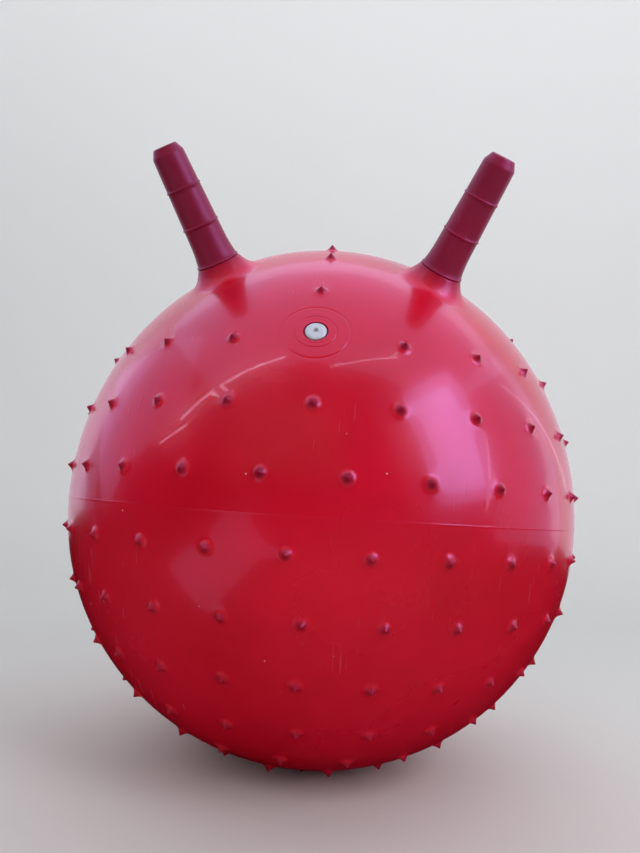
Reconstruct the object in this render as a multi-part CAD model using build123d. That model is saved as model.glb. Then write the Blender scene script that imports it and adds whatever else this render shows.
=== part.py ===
from build123d import *
import math
import os

# Inflatable hopper ball: a hollow moulded PVC skin with two horn handles, short
# massage spikes, a bonded valve insert and a push-in plug. Millimetres, +Z up
# along the mould axis, front (valve side) towards -Y, origin on the floor under
# the middle of the ball.

# ---- Driving dimensions ----
BALL_RADIUS = 225.0          # at the mould seam, 450 mm ball
TOP_RADIUS = 239.5           # seam plane to top pole, a little taller than round
BOTTOM_RADIUS = 220.5        # seam plane to bottom pole, a little flatter
WALL = 1.2                   # moulded skin thickness

SEAM_HALF_WIDTH = 0.5        # fine raised line where the mould halves met
SEAM_HEIGHT = 0.3
INNER_SEAM_HEIGHT = 0.01     # the same line inside is all but flat

# One spike: a pointed cone on a low flared skirt, measured from the skin.
SPIKE_HEIGHT = 4.8
SPIKE_TIP_RADIUS = 0.8
SPIKE_FOOT_RADIUS = 3.2
SPIKE_FOOT_HEIGHT = 0.9
SKIRT_RADIUS = 6.8
SKIRT_EDGE_HEIGHT = 0.1
SPIKE_ROOT_SINK = 0.4        # rooted in the skin, past its curve at the skirt

# Spike rows: latitude, spikes in the full circle, azimuth of the first one.
SPIKE_ROWS = (
    (82.0, 4, 45.0),
    (70.0, 9, 0.0),
    (58.4, 14, 1.0),
    (42.9, 18, 0.0),
    (30.2, 20, 0.6),
    (17.8, 23, 0.9),
    (6.2, 25, 7.5),
    (-6.4, 26, -1.7),
    (-18.2, 25, 1.4),
    (-30.7, 24, 0.7),
    (-43.4, 20, 1.0),
    (-56.0, 16, -4.6),
    (-68.0, 11, -16.0),
    (-80.0, 6, 0.0),
)
FOOT_LATITUDE = -80.0        # the ball stands on this row
HORN_CLEAR_ANGLE = 20.0      # no spike this close to the middle of a horn root
VALVE_CLEAR_ANGLE = 7.0      # nor this close to the valve

# Horns stand square to the skin, leaning forward and outward.
HORN_LATITUDE = 52.5
HORN_AZIMUTH = 39.0
HORN_ROOT_HEIGHT = 12.5      # skin to the base ring, along the horn's axis
HORN_LENGTH = 95.5           # base ring to flat top
HORN_WALL = 3.0
HORN_BASE_RADIUS = 17.4
HORN_NECK_RADIUS = 14.9
HORN_NECK_HEIGHT = 20.0
HORN_NECK_CURVE = 0.9        # how far the flare at the neck curves in
HORN_TOP_RADIUS = 12.7
HORN_FLAT_RADIUS = 9.3
HORN_CHAMFER = 6.5
RING_HEIGHTS = (32.0, 62.5)
RING_BEAD_RADIUS = 0.7
COLLAR_RADIUS = 38.0         # where the moulded root meets the ball
COLLAR_DEPTH = 17.0          # base ring to the root's sunk edge
COLLAR_CURVE = 4.2           # how far the root's profile curves in
COLLAR_BORE_RADIUS = 32.0    # the same for its hollow
COLLAR_BORE_DEPTH = 19.0

# Valve: insert bonded in the skin, plug pushed into it.
VALVE_LATITUDE = 32.2
INSERT_RADIUS = 15.0
INSERT_FLANGE_RADIUS = 19.5
INSERT_FLANGE_DEPTH = 3.4
INSERT_BOSS_RADIUS = 7.0
INSERT_BOSS_DEPTH = 13.0
BORE_RADIUS = 4.0
SEAT_RADIUS = 8.75
SEAT_DEPTH = 1.6
PLUG_HEAD_RADIUS = 7.7
PLUG_HEAD_EDGE = 1.7
PLUG_HEAD_DOME = 2.9
DOME_POINT_RATIO = 0.6       # a point on the dome's arc, out from its middle
DOME_POINT_DROP = 0.25       # and below its top
PLUG_CLEARANCE = 0.05
PLUG_STEM_LENGTH = 14.0
PLUG_TIP_RADIUS = 2.6
PLUG_TIP_LENGTH = 3.5
DIMPLE_RADIUS = 1.7
DIMPLE_DEPTH = 0.9
GROOVE_RADIUS = 24.5
GROOVE_WIDTH = 0.9
GROOVE_DEPTH = 0.45
CUT_MARGIN = 1.0             # how far a cutter runs past the faces it opens

PARTS_FOLDER = "parts"
FRONT_AZIMUTH = 0.0


def place(latitude, azimuth):
    """Point on the outer skin and the outward normal there, ball centre at 0."""
    lat = math.radians(latitude)
    azi = math.radians(azimuth)
    polar = TOP_RADIUS if latitude > 0 else BOTTOM_RADIUS
    side = math.cos(lat) * math.sin(azi)
    front = -math.cos(lat) * math.cos(azi)
    up = math.sin(lat)
    point = Vector(BALL_RADIUS * side, BALL_RADIUS * front, polar * up)
    normal = Vector(side / BALL_RADIUS, front / BALL_RADIUS, up / polar)
    return point, normal.normalized()


def frame_at(latitude, azimuth):
    """Plane tangent to the skin, its Z along the outward normal."""
    point, normal = place(latitude, azimuth)
    level = Vector(0, 0, 1).cross(normal)
    return Plane(origin=point, x_dir=level, z_dir=normal)


def angle_between(first, second):
    """Angle in degrees, seen from the ball's centre, between two skin points."""
    return place(*first)[0].get_angle(place(*second)[0])


def turned(*edges):
    """Solid of revolution about Z from edges drawn as (radius, height)."""
    return revolve(Plane.XZ * make_face(Curve() + list(edges)), Axis.Z)


def turned_outline(*points):
    """Solid of revolution about Z from a closed polygon of (radius, height)."""
    return revolve(Plane.XZ * make_face(Polyline(*points, close=True)), Axis.Z)


def oval(inset, seam_height):
    """The ball as a solid, inset from the outer skin, with its seam line."""
    radius = BALL_RADIUS - inset
    top = TOP_RADIUS - inset
    bottom = BOTTOM_RADIUS - inset
    upper_start = math.degrees(math.asin(SEAM_HALF_WIDTH / top))
    lower_start = math.degrees(math.asin(SEAM_HALF_WIDTH / bottom))
    upper = EllipticalCenterArc(
        (0, 0), radius, top, start_angle=upper_start, arc_size=90 - upper_start
    )
    lower = EllipticalCenterArc(
        (0, 0), radius, bottom, start_angle=270, arc_size=90 - lower_start
    )
    seam = ThreePointArc(lower @ 1, (radius + seam_height, 0), upper @ 0)
    return turned(lower, seam, upper, Line(upper @ 1, lower @ 0))


def spike():
    """One spike, standing on Z = 0 with its root sunk in the skin."""
    return turned_outline(
        (0, -SPIKE_ROOT_SINK),
        (SKIRT_RADIUS, -SPIKE_ROOT_SINK),
        (SKIRT_RADIUS, SKIRT_EDGE_HEIGHT),
        (SPIKE_FOOT_RADIUS, SPIKE_FOOT_HEIGHT),
        (SPIKE_TIP_RADIUS, SPIKE_HEIGHT),
        (0, SPIKE_HEIGHT),
    )


def is_clear(latitude, azimuth):
    """Whether a spike there would stand clear of both horn roots and the valve."""
    spot = (latitude, azimuth)
    near_horn = min(
        angle_between(spot, (HORN_LATITUDE, side * HORN_AZIMUTH)) for side in (-1, 1)
    )
    near_valve = angle_between(spot, (VALVE_LATITUDE, FRONT_AZIMUTH))
    return near_horn > HORN_CLEAR_ANGLE and near_valve > VALVE_CLEAR_ANGLE


def spike_group(rows):
    """All the spikes of some rows, as separate solids, leaving the gaps clear."""
    placed = []
    for latitude, count, first in rows:
        for step in range(count):
            azimuth = first + 360.0 * step / count
            if is_clear(latitude, azimuth):
                placed.append(frame_at(latitude, azimuth) * spike())
    return Compound(children=placed)


def horn_frame(side):
    """Plane of a horn's base ring, its Z along the horn."""
    skin = frame_at(HORN_LATITUDE, side * HORN_AZIMUTH)
    return skin.offset(HORN_ROOT_HEIGHT)


def flare(foot_radius, foot_depth, top_radius):
    """Flared solid from a wide foot up to a ring on Z = 0, curved inwards."""
    foot = (foot_radius, -foot_depth)
    top = (top_radius, 0)
    return turned(
        Line((0, -foot_depth), foot),
        SagittaArc(foot, top, COLLAR_CURVE),
        Line(top, (0, 0)),
        Line((0, 0), (0, -foot_depth)),
    )


def horn_collar():
    """Moulded root that swells from the ball up to the base ring."""
    return flare(COLLAR_RADIUS, COLLAR_DEPTH, HORN_BASE_RADIUS)


def horn_bore():
    """Hollow of the moulded root, open into the ball and into the horn."""
    return flare(COLLAR_BORE_RADIUS, COLLAR_BORE_DEPTH, HORN_BASE_RADIUS - HORN_WALL)


def horn():
    """One horn handle, hollow, open at its base ring on Z = 0."""
    straight_top = HORN_LENGTH - HORN_CHAMFER
    outer = turned(
        Line((0, 0), (HORN_BASE_RADIUS, 0)),
        SagittaArc((HORN_BASE_RADIUS, 0), (HORN_NECK_RADIUS, HORN_NECK_HEIGHT), HORN_NECK_CURVE),
        Line((HORN_NECK_RADIUS, HORN_NECK_HEIGHT), (HORN_TOP_RADIUS, straight_top)),
        Line((HORN_TOP_RADIUS, straight_top), (HORN_FLAT_RADIUS, HORN_LENGTH)),
        Line((HORN_FLAT_RADIUS, HORN_LENGTH), (0, HORN_LENGTH)),
        Line((0, HORN_LENGTH), (0, 0)),
    )
    slope = (HORN_NECK_RADIUS - HORN_TOP_RADIUS) / (straight_top - HORN_NECK_HEIGHT)
    beads = [(HORN_BASE_RADIUS, RING_BEAD_RADIUS)]
    for height in RING_HEIGHTS:
        radius = HORN_NECK_RADIUS - slope * (height - HORN_NECK_HEIGHT)
        beads.append((radius, height))
    for radius, height in beads:
        outer += Pos(0, 0, height) * Torus(radius, RING_BEAD_RADIUS)
    hollow = turned_outline(
        (0, -CUT_MARGIN),
        (HORN_BASE_RADIUS - HORN_WALL, -CUT_MARGIN),
        (HORN_BASE_RADIUS - HORN_WALL, 0),
        (HORN_NECK_RADIUS - HORN_WALL, HORN_NECK_HEIGHT),
        (HORN_TOP_RADIUS - HORN_WALL, straight_top),
        (HORN_FLAT_RADIUS - HORN_WALL, HORN_LENGTH - HORN_WALL),
        (0, HORN_LENGTH - HORN_WALL),
    )
    return outer - hollow


def valve_groove():
    """Cutter for the fine moulded ring around the valve."""
    sagitta = GROOVE_RADIUS**2 / (2 * BALL_RADIUS)
    inner = GROOVE_RADIUS - GROOVE_WIDTH / 2
    outer = GROOVE_RADIUS + GROOVE_WIDTH / 2
    floor = -sagitta - GROOVE_DEPTH
    return turned_outline(
        (inner, floor),
        (outer, floor),
        (outer, CUT_MARGIN),
        (inner, CUT_MARGIN),
    )


def valve_insert(frame, ball, cavity):
    """Bonded insert: plate flush in the skin, inner flange, boss and bore."""
    reach = 2 * INSERT_BOSS_DEPTH
    plate = frame * Cylinder(INSERT_RADIUS, 2 * INSERT_FLANGE_DEPTH)
    flange = frame * Cylinder(INSERT_FLANGE_RADIUS, 2 * INSERT_FLANGE_DEPTH)
    boss = frame * Pos(0, 0, -INSERT_BOSS_DEPTH / 2 - WALL) * Cylinder(
        INSERT_BOSS_RADIUS, INSERT_BOSS_DEPTH
    )
    bore = frame * Cylinder(BORE_RADIUS, 2 * reach)
    seat = frame * Cylinder(SEAT_RADIUS, 2 * SEAT_DEPTH)
    return (plate & ball) + (flange & cavity) + boss - bore - seat


def valve_plug(frame):
    """Push-in plug: domed head with a dimple, stem and tapered tip."""
    stem_radius = BORE_RADIUS - PLUG_CLEARANCE
    taper_start = PLUG_TIP_LENGTH - PLUG_STEM_LENGTH
    dome_top = (0, PLUG_HEAD_DOME)
    body = turned(
        Line(dome_top, (0, -PLUG_STEM_LENGTH)),
        Line((0, -PLUG_STEM_LENGTH), (PLUG_TIP_RADIUS, -PLUG_STEM_LENGTH)),
        Line((PLUG_TIP_RADIUS, -PLUG_STEM_LENGTH), (stem_radius, taper_start)),
        Line((stem_radius, taper_start), (stem_radius, 0)),
        Line((stem_radius, 0), (PLUG_HEAD_RADIUS, 0)),
        Line((PLUG_HEAD_RADIUS, 0), (PLUG_HEAD_RADIUS, PLUG_HEAD_EDGE)),
        ThreePointArc(
            (PLUG_HEAD_RADIUS, PLUG_HEAD_EDGE),
            (PLUG_HEAD_RADIUS * DOME_POINT_RATIO, PLUG_HEAD_DOME - DOME_POINT_DROP),
            dome_top,
        ),
    )
    body -= Pos(0, 0, PLUG_HEAD_DOME) * Cylinder(DIMPLE_RADIUS, 2 * DIMPLE_DEPTH)
    return frame * Pos(0, 0, -SEAT_DEPTH) * body


def ball_skin(ball, cavity, valve_frame, horn_frames):
    """The hollow moulded ball with its seam, horn roots and valve hole."""
    outer = ball.fuse(*[frame * horn_collar() for frame in horn_frames])
    hollow = cavity.fuse(*[frame * horn_bore() for frame in horn_frames])
    skin = outer.cut(hollow)
    skin = skin.cut(valve_frame * Cylinder(INSERT_RADIUS, 2 * INSERT_FLANGE_DEPTH))
    return skin.cut(valve_frame * valve_groove())


def build():
    ball = oval(0, SEAM_HEIGHT)
    cavity = oval(WALL, INNER_SEAM_HEIGHT)
    valve_frame = frame_at(VALVE_LATITUDE, FRONT_AZIMUTH)
    left = horn_frame(-1)
    right = horn_frame(1)
    upper_rows = [row for row in SPIKE_ROWS if row[0] > 0]
    lower_rows = [row for row in SPIKE_ROWS if FOOT_LATITUDE < row[0] < 0]
    foot_rows = [row for row in SPIKE_ROWS if row[0] == FOOT_LATITUDE]
    return {
        "ball_skin": ball_skin(ball, cavity, valve_frame, (left, right)),
        "upper_spikes": spike_group(upper_rows),
        "lower_spikes": spike_group(lower_rows),
        "foot_spikes": spike_group(foot_rows),
        "left_horn": left * horn(),
        "right_horn": right * horn(),
        "valve_insert": valve_insert(valve_frame, ball, cavity),
        "valve_plug": valve_plug(valve_frame),
    }


foot_point, foot_normal = place(FOOT_LATITUDE, FRONT_AZIMUTH)
foot_tip = foot_point + foot_normal * SPIKE_HEIGHT
foot_edge = SPIKE_TIP_RADIUS * math.sin(math.acos(-foot_normal.Z))
floor_height = foot_tip.Z - foot_edge

os.makedirs(PARTS_FOLDER, exist_ok=True)
for name, solid in build().items():
    export_step(Pos(0, 0, -floor_height) * solid, f"{PARTS_FOLDER}/{name}.step")
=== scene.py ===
import math

import bpy
from mathutils import Matrix, Quaternion, Vector
from mathutils.geometry import delaunay_2d_cdt
from mathutils.kdtree import KDTree


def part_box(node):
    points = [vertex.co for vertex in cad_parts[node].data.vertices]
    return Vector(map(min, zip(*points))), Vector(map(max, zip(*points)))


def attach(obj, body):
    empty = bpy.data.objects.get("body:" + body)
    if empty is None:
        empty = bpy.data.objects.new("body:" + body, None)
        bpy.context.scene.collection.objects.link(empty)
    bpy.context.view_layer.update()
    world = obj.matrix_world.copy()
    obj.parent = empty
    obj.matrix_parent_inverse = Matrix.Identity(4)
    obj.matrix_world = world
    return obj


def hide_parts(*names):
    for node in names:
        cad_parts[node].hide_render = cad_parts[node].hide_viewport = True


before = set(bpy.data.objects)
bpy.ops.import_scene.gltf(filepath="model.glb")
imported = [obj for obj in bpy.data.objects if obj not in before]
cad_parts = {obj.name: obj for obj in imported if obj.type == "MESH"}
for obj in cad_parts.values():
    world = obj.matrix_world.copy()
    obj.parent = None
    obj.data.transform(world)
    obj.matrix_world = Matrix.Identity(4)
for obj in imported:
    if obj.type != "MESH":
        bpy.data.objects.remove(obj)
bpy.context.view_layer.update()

# ---------------------------------------------------------------- sizes, in metres
MM = 0.001
BALL_RADIUS = 225.0 * MM        # at the mould seam
TOP_RADIUS = 239.5 * MM         # seam plane to top pole
BOTTOM_RADIUS = 220.5 * MM      # seam plane to bottom pole
WALL = 1.2 * MM
CENTRE = Vector((0, 0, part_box("ball_skin")[0].z + BOTTOM_RADIUS))

SEAM_PROFILE = (                # height across the seam, radius gained
    (-1.3 * MM, 0.0),
    (-0.7 * MM, 0.01 * MM),
    (-0.35 * MM, 0.06 * MM),
    (0.0, 0.11 * MM),
    (0.35 * MM, 0.06 * MM),
    (0.7 * MM, 0.01 * MM),
    (1.3 * MM, 0.0),
)
SEAM_STEPS = 480
INNER_SEAM_STEPS = 120

SPIKE_HEIGHT = 4.8 * MM
SPIKE_REACH = 7.8 * MM          # where its flared foot runs out
SPIKE_POWER = 2.5               # how hollow-sided it is
SPIKE_TIP_ROUND = 0.7 * MM
SPIKE_TINT_INNER = 1.5 * MM     # the thick part of a spike is darker than the skin
SPIKE_TINT_OUTER = 6.5 * MM
LOWER_SPIKE_TINT = 0.8          # below the seam they are a little lighter: painted light, as lower spikes catch more sheen
SPIKE_RINGS = (                 # radius, points round it
    (0.3 * MM, 8),
    (0.7 * MM, 14),
    (1.2 * MM, 18),
    (1.8 * MM, 18),
    (2.4 * MM, 18),
    (2.9 * MM, 18),
    (3.4 * MM, 18),
    (3.9 * MM, 18),
    (4.6 * MM, 18),
    (5.6 * MM, 18),
    (6.6 * MM, 18),
    (7.8 * MM, 18),
)
SPIKE_ROWS = (                  # latitude, spikes in the full circle, first azimuth
    (82.0, 4, 45.0),
    (70.0, 9, 0.0),
    (58.4, 14, 1.0),
    (42.9, 18, 0.0),
    (30.2, 20, 0.6),
    (17.8, 23, 0.9),
    (6.2, 25, 7.5),
    (-6.4, 26, -1.7),
    (-18.2, 25, 1.4),
    (-30.7, 24, 0.7),
    (-43.4, 20, 1.0),
    (-56.0, 16, -4.6),
    (-68.0, 11, -16.0),
    (-80.0, 6, 0.0),
)
HORN_CLEAR_ANGLE = 20.0         # degrees round a horn root without spikes
VALVE_CLEAR_ANGLE = 7.0

HORN_LATITUDE = 52.5
HORN_AZIMUTH = 39.0
HORN_ROOT_HEIGHT = 12.5 * MM
HORN_LENGTH = 95.5 * MM
HORN_WALL = 3.0 * MM
HORN_BASE_RADIUS = 17.4 * MM
HORN_NECK_RADIUS = 14.9 * MM
HORN_NECK_HEIGHT = 20.0 * MM
HORN_TOP_RADIUS = 12.7 * MM
HORN_FLAT_RADIUS = 9.3 * MM
HORN_CHAMFER = 6.5 * MM
HORN_CROWN = 0.2 * MM           # how far the flat end bulges
HORN_CROWN_SHARE = 0.6          # both radius and bulge of the row halfway out
HORN_CORNER = 0.9 * MM
HORN_FLARE_POWER = 2.2
HORN_ROW_SPACING = 3.0 * MM
HORN_ROWS = 28
RING_HEIGHTS = (0.8 * MM, 32.0 * MM, 62.5 * MM)
RING_BEAD = 0.75 * MM
RING_STEPS = (-1.3, -0.9, -0.55, -0.2, 0.2, 0.55, 0.9, 1.3)     # rows across it, in beads
RING_CLEARANCE = 1.8            # plain rows keep this many beads away
ROOT_RADIUS = 36.0 * MM         # where the swelling at a horn's root starts
ROOT_BORE_RADIUS = 30.0 * MM
ROOT_STEPS = 72
ROOT_LEVELS = 14
ROOT_PAINTED_SHADE = 0.85                # painted shade: how far it darkens towards the base ring, under the horn
ROOT_SLOPE = 60.0               # how steeply it meets the base ring, in degrees
ROOT_SKIN_PULL = 0.5            # its curve's handles, as shares of its span
ROOT_RING_PULL = 0.34

VALVE_LATITUDE = 32.2
VALVE_STEPS = 96
INSERT_RADIUS = 15.0 * MM
INSERT_GAP = 0.02 * MM          # between the insert and the skin round it
INSERT_PROUD = 0.1 * MM
INSERT_EDGE = 0.7 * MM          # width of its sloped edge
INSERT_EDGE_DROP = 0.3 * MM
INSERT_CORNER = 0.4 * MM
INNER_RING_RADIUS = 11.3 * MM   # a faint ring pressed into the insert
INNER_RING_REACH = 0.5 * MM
INNER_RING_DEPTH = 0.16 * MM
SEAT_TOP_RADIUS = 8.8 * MM      # the sunk seat that the plug's head sits in
SEAT_FOOT_RADIUS = 8.75 * MM
SEAT_LIP_RADIUS = 9.5 * MM
SEAT_TOP_DEPTH = 0.1 * MM
SEAT_DEPTH = 1.6 * MM
SEAT_SHADE_RADIUS = 8.9 * MM    # painted shade in the seat, below this height
SEAT_SHADE_HEIGHT = -0.12 * MM
BORE_RADIUS = 4.0 * MM
BORE_START_DEPTH = 8.0 * MM     # its outline starts halfway down the bore
FLANGE_RADIUS = 19.5 * MM       # glued to the inside of the skin
FLANGE_ROOT_DEPTH = 1.7 * MM
FLANGE_RIM_DEPTH = 2.2 * MM
FLANGE_DEPTH = 3.4 * MM
BOSS_RADIUS = 7.0 * MM
BOSS_ROOT_DEPTH = 3.6 * MM
BOSS_DEPTH = 14.2 * MM

PLUG_RADIUS = 7.7 * MM
PLUG_STEM_RADIUS = 3.95 * MM
PLUG_STEM_LENGTH = 14.0 * MM    # under the head, tip included
PLUG_STRAIGHT_LENGTH = 10.5 * MM
PLUG_TIP_RADIUS = 2.6 * MM
PLUG_CORNER = 0.5 * MM
PLUG_CROWN = (                  # radius and height: dimple, its lip, then the dome
    (0.0, 0.15 * MM),
    (1.1 * MM, 0.25 * MM),
    (2.1 * MM, 1.15 * MM),
    (4.4 * MM, 1.1 * MM),
    (6.4 * MM, 0.8 * MM),
)

GROOVE_RINGS = (                # radius about the valve, lift of the skin there
    (15.3 * MM, 0.0),
    (15.8 * MM, 0.02 * MM),
    (17.0 * MM, 0.0),
    (20.0 * MM, 0.0),
    (22.6 * MM, 0.0),
    (23.9 * MM, 0.01 * MM),
    (24.2 * MM, -0.1 * MM),
    (24.5 * MM, -0.32 * MM),
    (24.8 * MM, -0.1 * MM),
    (25.1 * MM, 0.01 * MM),
    (26.6 * MM, 0.0),
)

SKIN_SPACING = 7.0 * MM         # between points of plain skin
INNER_SPACING = 14.0 * MM
SEAM_MARGIN = 0.4               # shares of that spacing which plain points keep free
SPIKE_MARGIN = 0.45
ROOT_MARGIN = 1.0
HOLE_MARGIN = 0.7
HORN_STEPS = 72
CORNER_SHARE = 0.45             # a rounded corner takes at most this share of an edge
TINT_NAME = "spike_tint"        # the attribute that says where the plastic is darker: thick in the spikes, painted shade at the horn roots and in the valve seat
ON_AXIS = 1e-7                  # smaller radii than this count as the axis
SAME_PLACE = 1e-9               # two mapped points closer than this are one


# ---------------------------------------------------------------- the ball's surface
def polar(z):
    """The skin's polar radius at a height over the seam plane."""
    return TOP_RADIUS if z > 0 else BOTTOM_RADIUS


def unit_at(latitude, azimuth):
    """Unit-ball point: latitude and azimuth in degrees, azimuth 0 at the front."""
    lat = math.radians(latitude)
    azi = math.radians(azimuth)
    across = math.cos(lat)
    return Vector((across * math.sin(azi), -across * math.cos(azi), math.sin(lat)))


def skin_at(unit, inset=0.0):
    """Point on the skin, about the ball's centre, inset by a wall thickness."""
    wide = BALL_RADIUS - inset
    return Vector((wide * unit.x, wide * unit.y, (polar(unit.z) - inset) * unit.z))


def unit_under(point, inset=0.0):
    """Unit-ball point of the skin below or above a point."""
    wide = BALL_RADIUS - inset
    tall = polar(point.z) - inset
    return Vector((point.x / wide, point.y / wide, point.z / tall)).normalized()


def unit_normal(point):
    """The skin's outward direction at a point on it."""
    wide2 = BALL_RADIUS**2
    tall2 = polar(point.z) ** 2
    return Vector((point.x / wide2, point.y / wide2, point.z / tall2)).normalized()


class Spot:
    """A tangent frame on the skin: point, outward normal, level and uphill axes."""

    def __init__(self, latitude, azimuth):
        self.unit = unit_at(latitude, azimuth)
        self.point = skin_at(self.unit)
        self.normal = unit_normal(self.point)
        self.level = Vector((0, 0, 1)).cross(self.normal).normalized()
        self.uphill = self.normal.cross(self.level)

    def around(self, radius, turn):
        """Point in the tangent plane, at a radius and an angle in radians."""
        return self.point + radius * (math.cos(turn) * self.level + math.sin(turn) * self.uphill)

    def matrix(self, lift=0.0):
        """Places a piece made about Z onto this spot, in the scene's frame."""
        rows = Matrix((self.level, self.uphill, self.normal)).transposed().to_4x4()
        rows.translation = CENTRE + self.point + lift * self.normal
        return rows


HORN_SPOTS = {
    "left_horn": Spot(HORN_LATITUDE, -HORN_AZIMUTH),
    "right_horn": Spot(HORN_LATITUDE, HORN_AZIMUTH),
}
VALVE_SPOT = Spot(VALVE_LATITUDE, 0)


def spike_spots():
    """Every spike's spot, leaving both horn roots and the valve clear."""
    spots = []
    for latitude, count, first in SPIKE_ROWS:
        for step in range(count):
            spot = Spot(latitude, first + 360.0 * step / count)
            horn_gap = min(spot.point.angle(h.point) for h in HORN_SPOTS.values())
            valve_gap = spot.point.angle(VALVE_SPOT.point)
            clear_of_horns = horn_gap > math.radians(HORN_CLEAR_ANGLE)
            if clear_of_horns and valve_gap > math.radians(VALVE_CLEAR_ANGLE):
                spots.append(spot)
    return spots


def spike_lift(radius):
    """Height of a spike's profile: a blunt tip on a hollow, flared foot."""
    blunted = math.hypot(radius, SPIKE_TIP_ROUND) - SPIKE_TIP_ROUND
    return SPIKE_HEIGHT * max(0.0, 1 - blunted / (SPIKE_REACH - SPIKE_TIP_ROUND)) ** SPIKE_POWER


def spike_tint(radius):
    """How much of the dark tint a spike has at a radius, from 1 to 0."""
    share = (SPIKE_TINT_OUTER - radius) / (SPIKE_TINT_OUTER - SPIKE_TINT_INNER)
    share = min(1.0, max(0.0, share))
    return share * share * (3 - 2 * share)      # eased in and out


# ---------------------------------------------------------------- mesh building
class Sheet:
    """A skin of points on the ball, meshed by triangulating their map."""

    def __init__(self, inset=0.0):
        self.inset = inset
        self.units = []
        self.points = []
        self.tints = {}
        self.holes = []

    def add(self, unit, offset=Vector()):
        """Adds a point, offset from the skin, and returns its number."""
        self.units.append(unit)
        self.points.append(skin_at(unit, self.inset) + offset)
        return len(self.points) - 1

    def ring(self, spot, radius, count, lift=0.0, phase=0.0):
        """A ring of points on the skin round a spot, lifted along its normal."""
        made = []
        for step in range(count):
            turn = math.tau * (step + phase) / count
            unit = unit_under(spot.around(radius, turn), self.inset)
            made.append(self.add(unit, spot.normal * lift))
        return made

    def hole(self, spot, radius, count):
        """A ring that bounds an opening."""
        made = self.ring(spot, radius, count)
        self.holes.append(set(made))
        return made

    def fill(self, spacing, keep_out):
        """Rows of plain points, clear of (spot, radius) pairs."""
        tree = KDTree(len(keep_out))
        for number, (spot, _) in enumerate(keep_out):
            tree.insert(spot.point, number)
        tree.balance()
        reach = max(radius for _, radius in keep_out)
        seam_gap = SEAM_PROFILE[-1][0] + SEAM_MARGIN * spacing
        rows = round(math.pi / 2 * BALL_RADIUS / spacing)
        for sign in (1, -1):
            for row in range(rows + 1):
                lat = 90.0 * (row + 0.5) / (rows + 0.5)
                if BALL_RADIUS * math.radians(lat) < seam_gap:
                    continue
                around = BALL_RADIUS * math.cos(math.radians(lat))
                count = max(1, round(math.tau * around / spacing))
                for step in range(count):
                    azimuth = 360.0 * (step + 0.5 * (row % 2)) / count
                    unit = unit_at(sign * lat, azimuth)
                    place = skin_at(unit)
                    near = tree.find_range(place, reach)
                    if all((keep_out[i][0].point - place).length > keep_out[i][1] for _, i, _ in near):
                        self.add(unit)

    def faces(self, seam_rows):
        """Triangles above and below the seam, and the seam's own strip of quads."""
        on_seam = {i for row in seam_rows for i in row}
        result = []
        for sign, edge in ((1, seam_rows[-1]), (-1, seam_rows[0])):
            rim = set(edge)
            chosen = [
                i
                for i, unit in enumerate(self.units)
                if i in rim or (sign * unit.z > 0 and i not in on_seam)
            ]
            flat = [self._flatten(self.units[i], sign) for i in chosen]
            triangles = delaunay_2d_cdt(flat, [], [], 0, SAME_PLACE)[2]
            for triangle in triangles:      # those across a hole or along the rim are dropped
                corners = [chosen[k] for k in triangle]
                if any(hole.issuperset(corners) for hole in self.holes) or rim.issuperset(corners):
                    continue
                result.append(tuple(corners) if sign > 0 else tuple(reversed(corners)))
        bridge(result, seam_rows)
        return result

    @staticmethod
    def _flatten(unit, sign):
        """Maps half the ball onto a plane, seen from the other pole."""
        return Vector((unit.x, unit.y)) / (1 + sign * unit.z)


def seam_rows(sheet, steps, proud):
    """Rows of points along the seam; proud=0 leaves it flat."""
    rows = []
    for height, gain in SEAM_PROFILE:
        lat = math.degrees(math.asin(height / polar(height)))
        row = []
        for step in range(steps):
            unit = unit_at(lat, 360.0 * step / steps)
            outward = Vector((unit.x, unit.y, 0)).normalized()
            row.append(sheet.add(unit, outward * gain * proud))
        rows.append(row)
    return rows


def bezier(a, b, c, d, t):
    """Point on the curve from a to d with handles b and c."""
    s = 1 - t
    return a * s**3 + b * (3 * s * s * t) + c * (3 * s * t * t) + d * t**3


def rise(points, faces, rim, spot, top_radius, flip=False):
    """Rows that rise smoothly from a hole's rim to a horn's base ring."""
    slope = math.radians(ROOT_SLOPE)
    rows = [rim]
    for level in range(1, ROOT_LEVELS + 1):
        row = []
        for k, index in enumerate(rim):
            turn = math.tau * k / len(rim)
            start = points[index]
            out = math.cos(turn) * spot.level + math.sin(turn) * spot.uphill
            normal = unit_normal(start)
            inward = (-out + out.dot(normal) * normal).normalized()
            end = spot.point + spot.normal * HORN_ROOT_HEIGHT + out * top_radius
            down = out * math.cos(slope) - spot.normal * math.sin(slope)
            span = (start - end).length
            start_handle = start + inward * ROOT_SKIN_PULL * span
            end_handle = end + down * ROOT_RING_PULL * span
            points.append(bezier(start, start_handle, end_handle, end, level / ROOT_LEVELS))
            row.append(len(points) - 1)
        rows.append(row)
    bridge(faces, rows, flip)
    return rows


def bridge(faces, rows, flip=False):
    """Quads between successive closed rows of the same count."""
    for lower, upper in zip(rows, rows[1:]):
        for k in range(len(lower)):
            n = (k + 1) % len(lower)
            quad = (lower[k], lower[n], upper[n], upper[k])
            faces.append(tuple(reversed(quad)) if flip else quad)


def make_piece(name, points, faces, matrix, body, material, replaces):
    """A visible piece that rides on a body and stands in for some CAD nodes."""
    mesh = bpy.data.meshes.new(name)
    mesh.from_pydata([tuple(p) for p in points], [], faces)
    mesh.transform(matrix)
    mesh.validate()
    mesh.polygons.foreach_set("use_smooth", [True] * len(mesh.polygons))
    mesh.materials.append(material)
    mesh.update()
    piece = bpy.data.objects.new(name, mesh)
    bpy.context.scene.collection.objects.link(piece)
    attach(piece, body)
    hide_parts(*replaces)
    return piece


def write_tint(piece, values):
    """Stores how dark the plastic is at every point, from 0 to 1, painted shade included."""
    tint = piece.data.attributes.new(TINT_NAME, "FLOAT", "POINT")
    tint.data.foreach_set("value", values)


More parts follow.
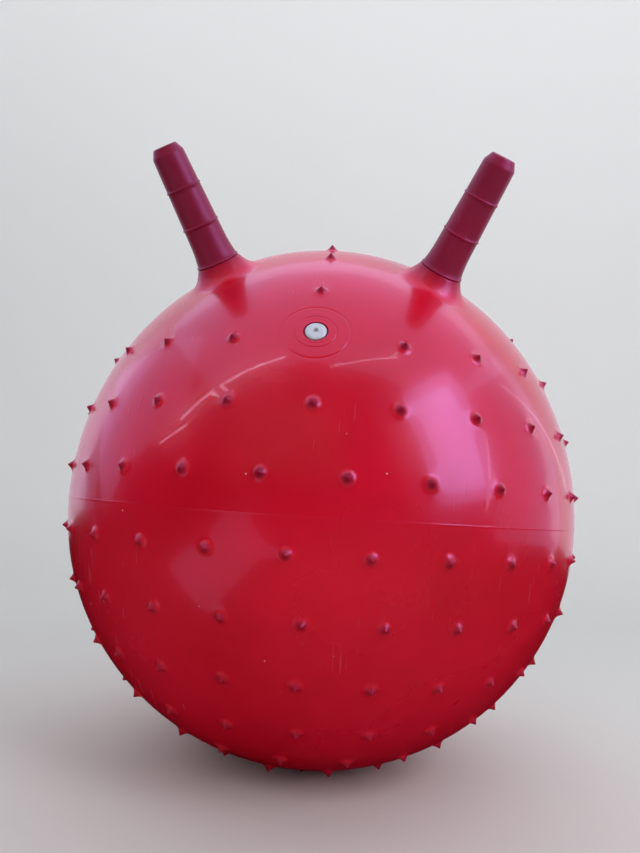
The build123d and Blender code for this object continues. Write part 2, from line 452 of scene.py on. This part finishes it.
def build_skin(material):
    """The moulding: a real shell with spikes, seam, horn roots and valve hole."""
    outer = Sheet()
    rows = seam_rows(outer, SEAM_STEPS, 1.0)
    spikes = spike_spots()
    for spot in spikes:
        # Lower spikes take less of the dark tint: painted light where they catch more sheen.
        strength = 1.0 if spot.unit.z > 0 else LOWER_SPIKE_TINT
        tip = outer.add(spot.unit, spot.normal * spike_lift(0.0))
        outer.tints[tip] = strength
        for number, (radius, count) in enumerate(SPIKE_RINGS):
            made = outer.ring(spot, radius, count, spike_lift(radius), 0.5 * (number % 2))
            outer.tints.update(dict.fromkeys(made, strength * spike_tint(radius)))
    horn_rims = {
        name: outer.hole(spot, ROOT_RADIUS, ROOT_STEPS) for name, spot in HORN_SPOTS.items()
    }
    for spot in HORN_SPOTS.values():
        outer.ring(spot, ROOT_RADIUS + 0.5 * SKIN_SPACING, ROOT_STEPS, 0.0, 0.5)
    valve_rim = outer.hole(VALVE_SPOT, INSERT_RADIUS, VALVE_STEPS)
    for number, (radius, lift) in enumerate(GROOVE_RINGS):
        outer.ring(VALVE_SPOT, radius, VALVE_STEPS, lift)
    keep_out = [(spot, SPIKE_REACH + SPIKE_MARGIN * SKIN_SPACING) for spot in spikes]
    root_reach = ROOT_RADIUS + ROOT_MARGIN * SKIN_SPACING
    keep_out += [(spot, root_reach) for spot in HORN_SPOTS.values()]
    keep_out.append((VALVE_SPOT, GROOVE_RINGS[-1][0] + HOLE_MARGIN * SKIN_SPACING))
    outer.fill(SKIN_SPACING, keep_out)
    points = list(outer.points)
    faces = outer.faces(rows)

    inner = Sheet(WALL)
    inner_rows = seam_rows(inner, INNER_SEAM_STEPS, 0.0)
    inner_rims = {
        name: inner.hole(spot, ROOT_BORE_RADIUS, ROOT_STEPS) for name, spot in HORN_SPOTS.items()
    }
    inner_valve = inner.hole(VALVE_SPOT, INSERT_RADIUS, VALVE_STEPS)
    bore_reach = ROOT_BORE_RADIUS + HOLE_MARGIN * INNER_SPACING
    keep_out = [(spot, bore_reach) for spot in HORN_SPOTS.values()]
    keep_out.append((VALVE_SPOT, INSERT_RADIUS + HOLE_MARGIN * INNER_SPACING))
    inner.fill(INNER_SPACING, keep_out)
    inner_faces = inner.faces(inner_rows)
    shift = len(points)
    points += inner.points
    faces += [tuple(i + shift for i in reversed(face)) for face in inner_faces]

    for name, spot in HORN_SPOTS.items():
        root = rise(points, faces, horn_rims[name], spot, HORN_BASE_RADIUS)
        # Painted shade: each root darkens towards its horn's base ring.
        for level, row in enumerate(root):
            outer.tints.update(dict.fromkeys(row, ROOT_PAINTED_SHADE * level / ROOT_LEVELS))
        bore_rim = [i + shift for i in inner_rims[name]]
        bore = rise(points, faces, bore_rim, spot, HORN_BASE_RADIUS - HORN_WALL, flip=True)
        bridge(faces, [root[-1], bore[-1]])
    bridge(faces, [valve_rim, [i + shift for i in inner_valve]])
    cad_nodes = ("ball_skin", "upper_spikes", "lower_spikes", "foot_spikes")
    centre = Matrix.Translation(CENTRE)
    piece = make_piece("moulded_skin", points, faces, centre, "ball", material, cad_nodes)
    write_tint(piece, [outer.tints.get(i, 0.0) for i in range(len(points))])
    return piece


# ---------------------------------------------------------------- turned pieces
def rounded(outline, radius, steps=4):
    """Rounds the corners of an open outline of (radius, height) points."""
    result = [outline[0]]
    for before, corner, after in zip(outline, outline[1:], outline[2:]):
        a = Vector(before) - Vector(corner)
        b = Vector(after) - Vector(corner)
        cut = min(radius, CORNER_SHARE * a.length, CORNER_SHARE * b.length)
        start = Vector(corner) + a.normalized() * cut
        end = Vector(corner) + b.normalized() * cut
        for step in range(steps + 1):
            t = step / steps
            place = start * (1 - t) ** 2 + Vector(corner) * 2 * t * (1 - t) + end * t * t
            result.append(tuple(place))
    result.append(outline[-1])
    return result


def lathe(outline, steps, closed=False):
    """Points and faces of an outline turned about Z; ends on the axis become poles."""
    points, rows = [], []
    for radius, height in outline:
        if radius < ON_AXIS:
            points.append(Vector((0, 0, height)))
            rows.append([len(points) - 1])
            continue
        row = []
        for step in range(steps):
            turn = math.tau * step / steps
            points.append(Vector((radius * math.cos(turn), radius * math.sin(turn), height)))
            row.append(len(points) - 1)
        rows.append(row)
    pairs = list(zip(rows, rows[1:]))
    if closed:
        pairs.append((rows[-1], rows[0]))
    faces = []
    for first, second in pairs:
        for k in range(steps):
            n = (k + 1) % steps
            if len(first) == 1:
                faces.append((first[0], second[k], second[n]))
            elif len(second) == 1:
                faces.append((first[k], second[0], first[n]))
            else:
                faces.append((first[k], second[k], second[n], first[n]))
    return points, faces


def horn_radius(height):
    """Outer radius of a horn: straight taper with a flared neck at the base."""
    straight_top = HORN_LENGTH - HORN_CHAMFER
    taper = (HORN_NECK_RADIUS - HORN_TOP_RADIUS) / (straight_top - HORN_NECK_HEIGHT)
    radius = HORN_NECK_RADIUS - taper * (height - HORN_NECK_HEIGHT)
    flare = HORN_BASE_RADIUS - HORN_NECK_RADIUS - taper * HORN_NECK_HEIGHT
    left = max(0.0, 1 - height / HORN_NECK_HEIGHT)
    return radius + flare * left**HORN_FLARE_POWER


def horn_outline():
    """Closed shell outline: outside from the top down, then back up the bore."""
    straight_top = HORN_LENGTH - HORN_CHAMFER
    heights = [straight_top - HORN_ROW_SPACING * k for k in range(1, HORN_ROWS + 1)]
    for ring in RING_HEIGHTS:
        heights = [h for h in heights if abs(h - ring) > RING_CLEARANCE * RING_BEAD]
        heights += [ring + k * RING_BEAD for k in RING_STEPS if ring + k * RING_BEAD > 0]
    heights.sort(reverse=True)
    side = []
    for height in heights:
        gap = min(abs(height - ring) for ring in RING_HEIGHTS) / RING_BEAD
        bead = RING_BEAD * math.sqrt(max(0.0, 1 - gap * gap)) if gap < 1 else 0.0
        side.append((horn_radius(height) + bead, height))
    top = [
        (0.0, HORN_LENGTH + HORN_CROWN),
        (HORN_CROWN_SHARE * HORN_FLAT_RADIUS, HORN_LENGTH + HORN_CROWN_SHARE * HORN_CROWN),
        (HORN_FLAT_RADIUS, HORN_LENGTH),
        (HORN_TOP_RADIUS, straight_top),
        side[0],
    ]
    bore_top = HORN_LENGTH - HORN_WALL
    bore = [
        (HORN_BASE_RADIUS, 0.0),
        (HORN_BASE_RADIUS - HORN_WALL, 0.0),
        (HORN_NECK_RADIUS - HORN_WALL, HORN_NECK_HEIGHT),
        (HORN_TOP_RADIUS - HORN_WALL, straight_top),
        (HORN_FLAT_RADIUS - HORN_WALL, bore_top),
        (0.0, bore_top),
    ]
    return rounded(top, HORN_CORNER) + side[1:] + bore


def insert_face(radius, dip=0.0):
    """A point of the insert's face, which follows the skin."""
    return (radius, INSERT_PROUD - dip - radius**2 / (2 * BALL_RADIUS))


def insert_outline():
    """Closed outline: bore, seat, face with its faint ring, edge, flange, boss."""
    rim = INSERT_RADIUS - INSERT_GAP
    outline = [
        (BORE_RADIUS, -BORE_START_DEPTH),
        (BORE_RADIUS, -SEAT_DEPTH),
        (SEAT_FOOT_RADIUS, -SEAT_DEPTH),
        (SEAT_TOP_RADIUS, -SEAT_TOP_DEPTH),
        insert_face(SEAT_LIP_RADIUS),
        insert_face(INNER_RING_RADIUS - INNER_RING_REACH),
        insert_face(INNER_RING_RADIUS, INNER_RING_DEPTH),
        insert_face(INNER_RING_RADIUS + INNER_RING_REACH),
        insert_face(INSERT_RADIUS - INSERT_EDGE),
        insert_face(rim, INSERT_EDGE_DROP),
        (rim, -FLANGE_ROOT_DEPTH),
        (FLANGE_RADIUS, -FLANGE_RIM_DEPTH),
        (FLANGE_RADIUS, -FLANGE_DEPTH),
        (BOSS_RADIUS, -BOSS_ROOT_DEPTH),
        (BOSS_RADIUS, -BOSS_DEPTH),
        (BORE_RADIUS, -BOSS_DEPTH),
    ]
    return rounded(outline, INSERT_CORNER)


def plug_outline():
    """Plug: dimple, domed head, under-face, stem and tapered tip."""
    stem = [
        (PLUG_RADIUS, 0.0),
        (PLUG_RADIUS, -SEAT_DEPTH),
        (PLUG_STEM_RADIUS, -SEAT_DEPTH),
        (PLUG_STEM_RADIUS, -SEAT_DEPTH - PLUG_STRAIGHT_LENGTH),
        (PLUG_TIP_RADIUS, -SEAT_DEPTH - PLUG_STEM_LENGTH),
        (0.0, -SEAT_DEPTH - PLUG_STEM_LENGTH),
    ]
    return rounded(list(PLUG_CROWN) + stem, PLUG_CORNER)


def build_horn(name, material):
    """One hollow horn grip, standing on its root."""
    points, faces = lathe(horn_outline(), HORN_STEPS)
    place = HORN_SPOTS[name].matrix(HORN_ROOT_HEIGHT)
    return make_piece(name + "_grip", points, faces, place, "ball", material, (name,))


def build_insert(material):
    """The valve insert, with painted shade down in the plug's seat."""
    points, faces = lathe(insert_outline(), VALVE_STEPS, closed=True)
    place = VALVE_SPOT.matrix()
    nodes = ("valve_insert",)
    piece = make_piece("bonded_insert", points, faces, place, "ball", material, nodes)
    # Painted shade: the plug's seat is darkened.
    in_seat = [math.hypot(p.x, p.y) < SEAT_SHADE_RADIUS and p.z < SEAT_SHADE_HEIGHT for p in points]
    write_tint(piece, [1.0 if dark else 0.0 for dark in in_seat])
    return piece


def build_plug(material):
    """The push-in plug, on its own body."""
    points, faces = lathe(plug_outline(), VALVE_STEPS)
    place = VALVE_SPOT.matrix()
    return make_piece("push_in_plug", points, faces, place, "plug", material, ("valve_plug",))


# ---------------------------------------------------------------- materials
FILM_COLOUR = (0.66, 0.02, 0.08, 1.0)
PALE_DUST = (0.86, 0.70, 0.70, 1.0)
DARK_DUST = (0.05, 0.01, 0.015, 1.0)
SCUFF_COLOUR = (0.75, 0.42, 0.45, 1.0)
PLUG_DULL = (0.50, 0.55, 0.62, 1.0)
PLUG_BRIGHT = (0.60, 0.64, 0.70, 1.0)
PLUG_DIMPLE_DARK = (0.16, 0.14, 0.14, 1.0)
DIMPLE_DARK_RADIUS = 1.4 * MM         # the plug is darker inside this radius, in its dimple
DIMPLE_DARK_FADE = 2.6 * MM           # where the darkening ends
PVC_IOR = 1.42
PLUG_IOR = 1.49
COAT_ROUGHNESS = 0.045
PVC_SCATTER = (0.9, 0.12, 0.1)  # how far red, green and blue light spreads, as shares
PVC_SCATTER_REACH = 6.0 * MM
PLUG_SCATTER = (1.0, 0.9, 0.8)
PLUG_SCATTER_REACH = 2.0 * MM
DUST_CELLS = 110.0              # per metre
SCUFF_TURN = (0.5, 0.9, 0.3)
SCUFF_STRETCH = (520.0, 34.0, 34.0)
SWELL_HEIGHT = 1.6 * MM
PEEL_HEIGHT = 0.16 * MM
DUST_HEIGHT = 0.2 * MM
PLUG_GRAIN_HEIGHT = 0.06 * MM
COLOUR_MIX_INPUTS = (0, 6, 7)   # a colour mix's own numbers for amount, first, second
COLOUR_MIX_RESULT = 2


class Graph:
    """Small helper for building a material's nodes."""

    def __init__(self, name):
        self.material = bpy.data.materials.new(name)
        self.material.use_nodes = True
        self.tree = self.material.node_tree
        self.shader = self.tree.nodes["Principled BSDF"]
        coordinates = self.tree.nodes.new("ShaderNodeTexCoord")
        self.where = coordinates.outputs["Object"]

    def node(self, kind, inputs=None, **settings):
        """A node with its settings, and its inputs linked or set."""
        made = self.tree.nodes.new(kind)
        for key, value in settings.items():
            setattr(made, key, value)
        for key, value in (inputs or {}).items():
            if isinstance(value, bpy.types.NodeSocket):
                self.tree.links.new(value, made.inputs[key])
            else:
                made.inputs[key].default_value = value
        return made

    def noise(self, scale, detail=3.0, roughness=0.5, where=None):
        """Cloudy noise from 0 to 1; scale is in clouds per metre."""
        inputs = {
            "Vector": where or self.where,
            "Scale": scale,
            "Detail": detail,
            "Roughness": roughness,
        }
        return self.node("ShaderNodeTexNoise", inputs).outputs["Fac"]

    def ramp(self, value, low, high, out_low=0.0, out_high=1.0):
        """Maps low to high onto out_low to out_high, and clamps."""
        inputs = {
            "Value": value,
            "From Min": low,
            "From Max": high,
            "To Min": out_low,
            "To Max": out_high,
        }
        return self.node("ShaderNodeMapRange", inputs).outputs["Result"]

    def mix(self, amount, first, second):
        """Mixes two colours."""
        inputs = dict(zip(COLOUR_MIX_INPUTS, (amount, first, second)))
        made = self.node("ShaderNodeMix", inputs, data_type="RGBA")
        return made.outputs[COLOUR_MIX_RESULT]

    def maths(self, operation, first, second):
        """One sum or product."""
        inputs = {0: first, 1: second}
        return self.node("ShaderNodeMath", inputs, operation=operation).outputs[0]

    def link(self, output, socket):
        """Links an output to the shader."""
        self.tree.links.new(output, self.shader.inputs[socket])

    def bump(self, height, distance, strength=1.0, below=None):
        """A bump in metres, on top of the one below."""
        inputs = {"Height": height, "Distance": distance, "Strength": strength}
        if below is not None:
            inputs["Normal"] = below
        return self.node("ShaderNodeBump", inputs).outputs["Normal"]


def pvc(name, deep, light, gloss, shine, coat, scatter, thick_and_shade=None):
    """Moulded PVC: soft colour clouds, wiped-on film, short scuffs, dust specks.

    The last colour is that of the spikes, where the plastic is thicker and duller; at the horn roots
    and in the valve seat it is painted shade.
    """
    g = Graph(name)
    clouds = g.ramp(g.noise(scale=9.0, detail=4.0, roughness=0.55), 0.35, 0.68)
    colour = g.mix(clouds, deep, light)
    # The attribute darkens the colour: thick plastic in the spikes, painted shade at the horn roots
    # and in the valve seat.
    if thick_and_shade:
        tint = g.node("ShaderNodeAttribute", attribute_name=TINT_NAME).outputs["Fac"]
        colour = g.mix(g.ramp(tint, 0.3, 0.9, 0.0, 0.8), colour, thick_and_shade)
    film = g.ramp(g.noise(scale=6.5, detail=5.0, roughness=0.62), 0.48, 0.78, 0.0, 0.10)
    colour = g.mix(film, colour, FILM_COLOUR)

    # Dust: a speck in the middle of a few cells, drawn by each cell's own colour.
    cell_inputs = {"Vector": g.where, "Scale": DUST_CELLS, "Randomness": 1.0}
    cells = g.node("ShaderNodeTexVoronoi", cell_inputs)
    near = g.ramp(cells.outputs["Distance"], 0.04, 0.07, 1.0, 0.0)
    draw = g.node("ShaderNodeSeparateColor", {"Color": cells.outputs["Color"]})
    pale = g.maths("MULTIPLY", near, g.ramp(draw.outputs["Red"], 0.93, 0.935))
    dark = g.maths("MULTIPLY", near, g.ramp(draw.outputs["Green"], 0.975, 0.98))
    colour = g.mix(g.maths("MULTIPLY", pale, 0.7), colour, PALE_DUST)
    colour = g.mix(g.maths("MULTIPLY", dark, 0.7), colour, DARK_DUST)

    # Scuffs: noise stretched along one direction, kept to a few zones.
    grain_inputs = {"Vector": g.where, "Rotation": SCUFF_TURN, "Scale": SCUFF_STRETCH}
    grain = g.node("ShaderNodeMapping", grain_inputs).outputs["Vector"]
    streaks = g.ramp(g.noise(scale=1.0, detail=1.0, roughness=0.4, where=grain), 0.70, 0.76)
    zones = g.ramp(g.noise(scale=11.0, detail=2.0, roughness=0.5), 0.58, 0.66)
    scuffs = g.maths("MULTIPLY", streaks, zones)
    colour = g.mix(g.maths("MULTIPLY", scuffs, 0.07), colour, SCUFF_COLOUR)
    g.link(colour, "Base Color")

    # Gloss: uneven, and duller on scuffs, dust and thick plastic.
    patches = g.noise(scale=5.0, detail=5.0, roughness=0.6)
    rough = g.ramp(patches, 0.3, 0.75, gloss - 0.03, gloss + 0.06)
    rough = g.maths("ADD", rough, g.maths("MULTIPLY", scuffs, 0.15))
    rough = g.maths("ADD", rough, g.maths("MULTIPLY", pale, 0.4))
    g.shader.inputs["Specular IOR Level"].default_value = shine
    if thick_and_shade:
        rough = g.maths("ADD", rough, g.maths("MULTIPLY", tint, 0.28))
        g.link(g.ramp(tint, 0.5, 0.95, shine, 0.3 * shine), "Specular IOR Level")
    g.link(rough, "Roughness")

    # Relief: wide shallow swells, orange peel, and the dust's own height.
    swells = g.noise(scale=24.0, detail=3.0, roughness=0.5)
    relief = g.bump(swells, SWELL_HEIGHT, strength=0.18)
    peel = g.noise(scale=420.0, detail=3.0, roughness=0.5)
    relief = g.bump(peel, PEEL_HEIGHT, strength=0.30, below=relief)
    relief = g.bump(pale, DUST_HEIGHT, strength=0.5, below=relief)
    g.link(relief, "Normal")

    g.shader.inputs["IOR"].default_value = PVC_IOR
    g.shader.inputs["Coat Weight"].default_value = coat
    g.shader.inputs["Coat Roughness"].default_value = COAT_ROUGHNESS
    g.shader.inputs["Subsurface Weight"].default_value = scatter
    g.shader.inputs["Subsurface Radius"].default_value = PVC_SCATTER
    g.shader.inputs["Subsurface Scale"].default_value = PVC_SCATTER_REACH
    return g.material


def plug_plastic():
    """White push-in plug: faintly mottled plastic, darker in its dimple."""
    g = Graph("white_plug")
    mottled = g.ramp(g.noise(scale=240.0, detail=4.0, roughness=0.6), 0.35, 0.7)
    colour = g.mix(mottled, PLUG_DULL, PLUG_BRIGHT)
    dimple = tuple(VALVE_SPOT.matrix().translation)
    away = g.node("ShaderNodeVectorMath", {0: g.where, 1: dimple}, operation="DISTANCE")
    dimple_dark = g.ramp(away.outputs["Value"], DIMPLE_DARK_RADIUS, DIMPLE_DARK_FADE, 0.8, 0.0)
    colour = g.mix(dimple_dark, colour, PLUG_DIMPLE_DARK)
    g.link(colour, "Base Color")
    rough = g.noise(scale=160.0, detail=3.0, roughness=0.5)
    g.link(g.ramp(rough, 0.3, 0.7, 0.30, 0.45), "Roughness")
    grain = g.noise(scale=900.0, detail=3.0, roughness=0.5)
    g.link(g.bump(grain, PLUG_GRAIN_HEIGHT, strength=0.4), "Normal")
    g.shader.inputs["IOR"].default_value = PLUG_IOR
    g.shader.inputs["Subsurface Weight"].default_value = 0.1
    g.shader.inputs["Subsurface Radius"].default_value = PLUG_SCATTER
    g.shader.inputs["Subsurface Scale"].default_value = PLUG_SCATTER_REACH
    return g.material


# ---------------------------------------------------------------- stage
WALL_COLOUR = (0.92, 0.93, 0.93, 1.0)
FLOOR_COLOUR = (0.74, 0.75, 0.75, 1.0)
MOTTLE_COLOUR = (0.5, 0.5, 0.5, 1.0)
WALL_DISTANCE = 1.25            # behind the ball's axis
WALL_TOP = 3.2
STAGE_HALF_WIDTH = 4.5
STAGE_FRONT = -1.8
COVE_RADIUS = 0.3
COVE_STEPS = 12
ROOM_COLOUR = (0.95, 0.97, 1.0, 1.0)
ROOM_SEEN = 0.72                # how bright the room looks
ROOM_FILL = 0.15                # how much it lights

NEUTRAL = (0.98, 0.98, 1.0)
SKY = (0.60, 0.50, 1.0)
SKY_BACK = (0.92, 0.84, 1.0)
WINDOW = (0.46, 0.40, 1.0)
GLARE = (0.84, 0.70, 1.0)
MIDDLE = tuple(CENTRE)
FACE = (0.08, -0.19, 0.28)      # on the skin, where the window's sheen falls

# Boxes that are only seen as sheen: a soft sky, a window, the edge of the eaves.
# Name, place, aim, width and height, radiance, colour, roll in degrees.
SHEEN_BOXES = (
    ("sky_above", (0.12, -0.1, 1.9), (0.12, -0.1, 0.0), (3.9, 2.2), 1.75, SKY, 0),
    ("sky_left", (-1.7, 0.03, 1.18), (0.0, 0.03, 1.18), (1.6, 1.4), 1.35, SKY, 46),
    ("sky_corner", (-1.75, 0.85, 0.95), (0.0, 0.85, 0.95), (0.9, 1.7), 0.6, SKY, 0),
    ("sky_back", (0.0, 1.15, 1.55), (0.0, 0.0, 1.55), (5.0, 3.0), 0.95, SKY_BACK, 0),
    ("sky_right", (1.7, 0.3, 0.93), (0.0, 0.3, 0.93), (1.5, 1.75), 1.3, SKY, 0),
    ("window", (1.23, -0.76, 0.91), FACE, (0.55, 0.95), 6.2, WINDOW, 8),
    ("window_glow", (1.30, -0.79, 0.96), FACE, (0.9, 1.25), 4.9, WINDOW, 8),
    ("low_left", (-0.75, -1.05, -0.22), MIDDLE, (0.95, 0.5), 1.0, SKY, 38),
    ("eaves", (0.50, -0.95, 1.88), (0.50, -0.95, 0.0), (1.0, 0.020), 16.0, GLARE, 33),
)
# More thin bright edges, also only sheen. Each is mirrored from one spot on the skin to another.
# Name, latitude and azimuth of both spots, distance from the skin, width, radiance.
EDGE_STRIPS = (
    ("valley", (14.2, -23.8), (26.3, -5.2), 1.7, 0.022, 24.0),
    ("gutter", (10.0, -27.4), (13.5, -21.9), 1.7, 0.020, 18.0),
    ("window_edge", (16.1, 34.0), (2.4, 33.1), 1.6, 0.018, 11.0),
    ("fence", (25.6, 41.5), (7.3, 62.0), 1.6, 0.020, 5.0),
)
# Boxes that light the surfaces and are not seen in them.
# Name, place, aim, width and height, radiance.
FILL_BOXES = (
    ("overhead", (0.0, -0.1, 1.95), (0.0, -0.1, 0.0), (4.2, 2.2), 0.55),
    ("wall_wash", (0.0, 0.6, 2.3), (0.0, WALL_DISTANCE, 0.9), (8.0, 0.5), 1.3),
    ("key", (1.37, -1.3, 1.3), MIDDLE, (0.8, 1.1), 5.9),
    ("front", (-0.6, -2.1, 1.3), MIDDLE, (2.2, 1.4), 1.65),
)


def studio_paint():
    """Plain matt floor and wall with the faintest mottling, the floor a little greyer."""
    g = Graph("pale_studio")
    height = g.node("ShaderNodeSeparateXYZ", {"Vector": g.where}).outputs["Z"]
    colour = g.mix(g.ramp(height, 0.0, COVE_RADIUS), FLOOR_COLOUR, WALL_COLOUR)
    mottling = g.ramp(g.noise(scale=3.0, detail=3.0, roughness=0.5), 0.0, 1.0, 0.0, 0.06)
    g.link(g.mix(mottling, colour, MOTTLE_COLOUR), "Base Color")
    g.shader.inputs["Roughness"].default_value = 0.8
    g.shader.inputs["Specular IOR Level"].default_value = 0.0
    return g.material


def build_stage():
    """A floor that sweeps up into a wall. Only the soft boxes are reflected."""
    wall_foot = WALL_DISTANCE - COVE_RADIUS
    profile = [(STAGE_FRONT, 0.0)]
    for step in range(COVE_STEPS + 1):
        turn = math.pi / 2 * step / COVE_STEPS
        y = wall_foot + COVE_RADIUS * math.sin(turn)
        profile.append((y, COVE_RADIUS * (1 - math.cos(turn))))
    profile.append((WALL_DISTANCE, WALL_TOP))
    points = [(x, y, z) for x in (-STAGE_HALF_WIDTH, STAGE_HALF_WIDTH) for y, z in profile]
    count = len(profile)
    faces = [(k, k + count, k + count + 1, k + 1) for k in range(count - 1)]
    mesh = bpy.data.meshes.new("studio_sweep")
    mesh.from_pydata(points, [], faces)
    mesh.polygons.foreach_set("use_smooth", [True] * len(mesh.polygons))
    mesh.materials.append(studio_paint())
    sweep = bpy.data.objects.new("studio_sweep", mesh)
    sweep.visible_glossy = False
    bpy.context.scene.collection.objects.link(sweep)


def facing(place, aim, roll=0):
    """The turn of a box that looks from a place at an aim, rolled by some degrees."""
    turn = (Vector(aim) - Vector(place)).to_track_quat("-Z", "Y")
    return turn @ Quaternion((0, 0, 1), math.radians(roll))


def soft_light(name, place, turn, size, radiance, colour=NEUTRAL, sheen=False):
    """Soft box, either seen as sheen only or lighting the surfaces only."""
    data = bpy.data.lights.new(name, "AREA")
    data.shape = "RECTANGLE"
    data.size, data.size_y = size
    data.energy = radiance * math.pi * size[0] * size[1]
    data.color = colour
    light = bpy.data.objects.new(name, data)
    light.rotation_euler = turn.to_euler()
    light.location = place
    light.visible_camera = False
    light.visible_glossy = sheen
    light.visible_diffuse = not sheen
    bpy.context.scene.collection.objects.link(light)


def mirrored(spot, distance):
    """A spot's place on the skin, and the place that the scene's camera sees mirrored there."""
    skin = CENTRE + spot.point
    sight = (spot.point - CAMERA_FROM_CENTRE).normalized()
    return skin, skin + distance * sight.reflect(spot.normal)


def edge_strip(name, first, last, distance, width, radiance):
    """A thin box that is mirrored from one spot on the skin to another."""
    first_skin, start = mirrored(Spot(*first), distance)
    last_skin, end = mirrored(Spot(*last), distance)
    place = (start + end) / 2
    along = (end - start).normalized()
    back = place - (first_skin + last_skin) / 2
    back = (back - back.dot(along) * along).normalized()
    turn = Matrix((along, back.cross(along), back)).transposed()
    size = ((end - start).length, width)
    soft_light(name, place, turn, size, radiance, GLARE, sheen=True)


def build_lights():
    """All the soft boxes."""
    for name, place, aim, size, radiance, colour, roll in SHEEN_BOXES:
        soft_light(name, place, facing(place, aim, roll), size, radiance, colour, sheen=True)
    for strip in EDGE_STRIPS:
        edge_strip(*strip)
    for name, place, aim, size, radiance in FILL_BOXES:
        soft_light(name, place, facing(place, aim), size, radiance)


def build_world():
    """A pale room round the stage, left out of reflections."""
    world = bpy.data.worlds.new("soft_room")
    world.use_nodes = True
    nodes, links = world.node_tree.nodes, world.node_tree.links
    rays = nodes.new("ShaderNodeLightPath")
    strength = nodes.new("ShaderNodeMapRange")
    strength.inputs["To Min"].default_value = ROOM_FILL
    strength.inputs["To Max"].default_value = ROOM_SEEN
    links.new(rays.outputs["Is Camera Ray"], strength.inputs["Value"])
    background = nodes["Background"]
    background.inputs["Color"].default_value = ROOM_COLOUR
    links.new(strength.outputs["Result"], background.inputs["Strength"])
    bpy.context.scene.world = world
    world.cycles_visibility.glossy = False


# ---------------------------------------------------------------- camera
CAMERA_FROM_CENTRE = Vector((0.042, -0.6875, 0.0127))
CAMERA_HEADING = math.radians(4.0)      # turned towards the ball's left
CAMERA_PITCH = math.radians(5.53)
CAMERA_ROLL = math.radians(3.75)
CAMERA_LENS_MM = 30.72
CAMERA_SENSOR_MM = 36.0
CAMERA_NEAREST = 0.01


def build_camera():
    """The camera: in front of the ball, near its centre's height, a little to the right."""
    data = bpy.data.cameras.new("camera")
    data.sensor_width = CAMERA_SENSOR_MM
    data.sensor_fit = "AUTO"
    data.lens = CAMERA_LENS_MM
    data.clip_start = CAMERA_NEAREST
    camera = bpy.data.objects.new("camera", data)
    turn = Matrix.Rotation(CAMERA_HEADING, 3, "Z")
    tilt = Matrix.Rotation(math.pi / 2 + CAMERA_PITCH, 3, "X")
    roll = Matrix.Rotation(CAMERA_ROLL, 3, "Z")
    camera.rotation_euler = (turn @ tilt @ roll).to_euler()
    camera.location = CENTRE + CAMERA_FROM_CENTRE
    bpy.context.scene.collection.objects.link(camera)
    bpy.context.scene.camera = camera


# ---------------------------------------------------------------- scene
SKIN_RED = pvc(
    "red_pvc",
    deep=(0.55, 0.0008, 0.014, 1.0),
    light=(0.68, 0.0014, 0.022, 1.0),
    gloss=0.25,
    shine=0.5,
    coat=0.22,
    scatter=0.10,
    # also painted shade at the horn roots and in the valve seat
    thick_and_shade=(0.22, 0.0015, 0.024, 1.0),
)
HORN_RED = pvc(
    "dark_red_pvc",
    deep=(0.21, 0.002, 0.028, 1.0),
    light=(0.27, 0.004, 0.038, 1.0),
    gloss=0.42,
    shine=0.42,
    coat=0.0,
    scatter=0.05,
)

build_skin(SKIN_RED)
for horn_name in HORN_SPOTS:
    build_horn(horn_name, HORN_RED)
build_insert(SKIN_RED)
build_plug(plug_plastic())
build_stage()
build_lights()
build_world()
build_camera()
bpy.context.scene.view_settings.view_transform = "Standard"
